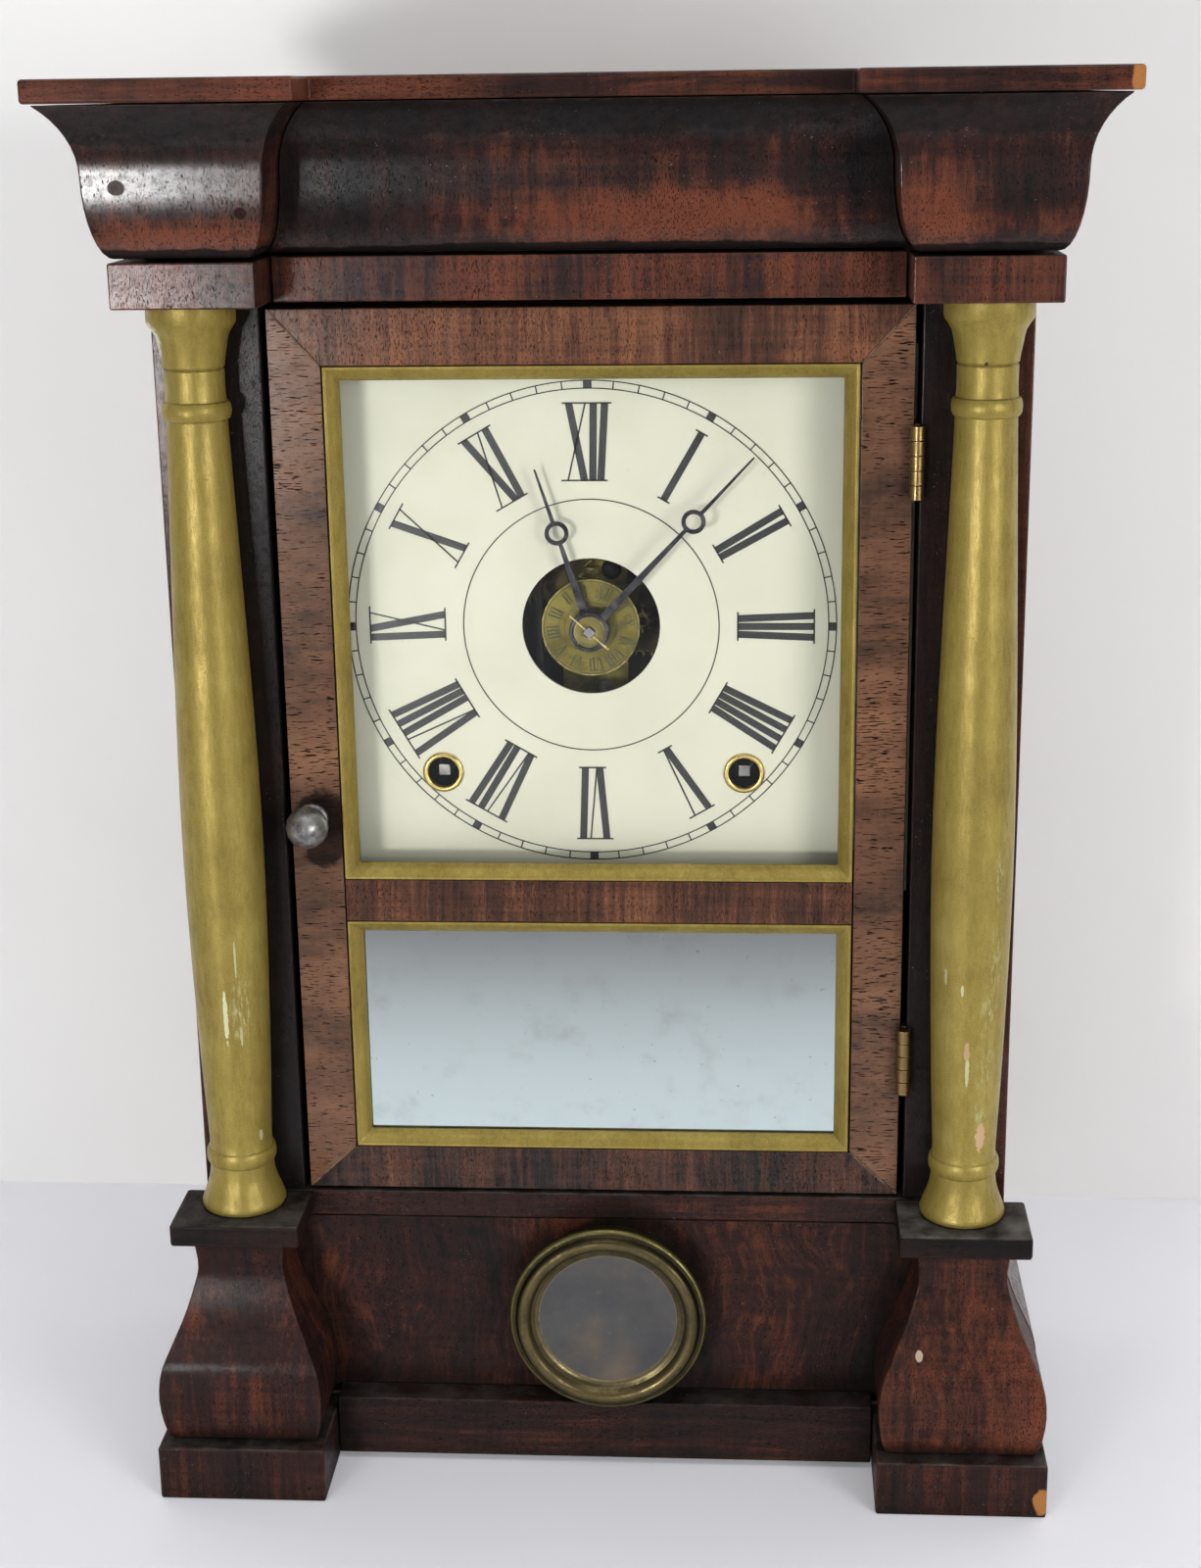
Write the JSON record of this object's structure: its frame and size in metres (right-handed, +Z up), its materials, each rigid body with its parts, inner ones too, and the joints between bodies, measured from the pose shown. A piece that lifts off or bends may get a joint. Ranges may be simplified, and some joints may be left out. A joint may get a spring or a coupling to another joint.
{
  "type": "column shelf clock",
  "caption": "Veneered shelf clock with gilt half columns on moulded pedestals, broken cornice, hinged door with dial window and mirror, pendulum movement and alarm disc.",
  "frame": {"origin": "centre of the overall box at the floor", "axes": "+Z up, -Y the front with the dial, +X to the right seen from the front"},
  "size_m": [0.2778, 0.1208, 0.406],
  "materials": {
    "rosewood": "satin varnish",
    "dark_wood": "satin varnish",
    "pine": "raw",
    "gilt": "bronze paint",
    "brass": "aged",
    "steel": "blued",
    "pewter": "worn",
    "dial_paint": "aged paint",
    "mirror": "silvered",
    "glass": "clear"
  },
  "bodies": {
    "case": {"cornice_top": "rosewood", "cornice_centre": "rosewood", "left_cornice_block": "rosewood", "right_cornice_block": "rosewood", "frieze_rail": "rosewood", "left_frieze_block": "rosewood", "right_frieze_block": "rosewood", "left_column": "gilt", "right_column": "gilt", "left_pedestal_cap": "dark_wood", "right_pedestal_cap": "dark_wood", "left_pedestal": "rosewood", "right_pedestal": "rosewood", "left_plinth": "rosewood", "right_plinth": "rosewood", "left_front_stile": "dark_wood", "right_front_stile": "dark_wood", "left_case_side": "dark_wood", "right_case_side": "dark_wood", "back_board": "pine", "bottom_board": "pine", "base_top_rail": "rosewood", "base_panel": "rosewood", "base_skirt": "rosewood", "brass_roundel": "brass", "dial_plate": "dial_paint", "left_winding_eyelet": "brass", "right_winding_eyelet": "brass", "upper_hinge_case_leaf": "brass", "lower_hinge_case_leaf": "brass", "movement_front_plate": "brass", "movement_back_plate": "brass", "time_mainspring": "steel", "strike_mainspring": "steel", "wire_gong": "steel"},
    "door": {"door_left_stile": "rosewood", "door_right_stile": "rosewood", "door_top_rail": "rosewood", "door_middle_rail": "rosewood", "door_bottom_rail": "rosewood", "upper_gilt_moulding": "gilt", "lower_gilt_moulding": "gilt", "dial_glass": "glass", "mirror": "mirror", "upper_hinge_door_leaf": "brass", "lower_hinge_door_leaf": "brass"},
    "latch": {"door_knob": "pewter"},
    "minute_work": {"centre_arbor": "steel", "minute_hand": "steel"},
    "hour_work": {"hour_wheel": "brass", "hour_hand": "steel"},
    "minute_wheel_work": {"minute_wheel": "brass"},
    "alarm_setting": {"alarm_disc": "brass"},
    "time_arbor": {"time_winding_arbor": "steel"},
    "strike_arbor": {"strike_winding_arbor": "steel"},
    "pendulum": {"pendulum_rod": "steel", "pendulum_bob": "brass"},
    "verge_work": {"verge": "steel"},
    "escape_work": {"escape_wheel": "brass"},
    "hammer": {"strike_hammer": "brass"}
  },
  "joints": [
    {"name": "door_hinge", "type": "hinge", "parent": "case", "child": "door", "pos_m": [0.08845, -0.02345, 0.13], "axis": [0, 0, 1], "range_deg": [0, 110]},
    {"name": "latch_turn", "type": "hinge", "parent": "door", "child": "latch", "pos_m": [-0.0815, -0.01355, 0.202], "axis": [0, 1, 0], "range_deg": [0, 90]},
    {"name": "minute_turn", "type": "hinge", "parent": "case", "child": "minute_work", "pos_m": [-0.0017, 0.00845, 0.2548], "axis": [0, 1, 0], "continuous": true},
    {"name": "hour_turn", "type": "hinge", "parent": "case", "child": "hour_work", "pos_m": [-0.0017, 0.00445, 0.2548], "axis": [0, 1, 0], "continuous": true},
    {"name": "minute_wheel_turn", "type": "hinge", "parent": "case", "child": "minute_wheel_work", "pos_m": [0.0127, 0.00645, 0.2548], "axis": [0, 1, 0], "continuous": true},
    {"name": "alarm_set", "type": "hinge", "parent": "hour_work", "child": "alarm_setting", "pos_m": [-0.0017, -0.00535, 0.2548], "axis": [0, 1, 0], "continuous": true},
    {"name": "time_wind", "type": "hinge", "parent": "case", "child": "time_arbor", "pos_m": [0.042, 0.01345, 0.2115], "axis": [0, 1, 0], "continuous": true},
    {"name": "strike_wind", "type": "hinge", "parent": "case", "child": "strike_arbor", "pos_m": [-0.0454, 0.01345, 0.2115], "axis": [0, 1, 0], "continuous": true},
    {"name": "pendulum_swing", "type": "hinge", "parent": "case", "child": "pendulum", "pos_m": [-0.0167, 0.00045, 0.305], "axis": [0, 1, 0], "range_deg": [-3, 3]},
    {"name": "verge_rock", "type": "hinge", "parent": "case", "child": "verge_work", "pos_m": [-0.0167, 0.00645, 0.296], "axis": [0, 1, 0], "range_deg": [-4.2, 4.2]},
    {"name": "escape_step", "type": "hinge", "parent": "case", "child": "escape_work", "pos_m": [-0.0167, 0.00905, 0.274], "axis": [0, 1, 0], "range_deg": [-3.1, 3.1]},
    {"name": "hammer_lift", "type": "hinge", "parent": "case", "child": "hammer", "pos_m": [-0.03, 0.03845, 0.24], "axis": [0, 1, 0], "range_deg": [0, 8]}
  ],
  "couplings": [
    {"joint": "hour_turn", "follows": "minute_turn", "ratio": 0.083333},
    {"joint": "minute_wheel_turn", "follows": "minute_turn", "ratio": -0.33333},
    {"joint": "verge_rock", "follows": "pendulum_swing", "ratio": 1.35},
    {"joint": "escape_step", "follows": "pendulum_swing", "ratio": 1}
  ]
}
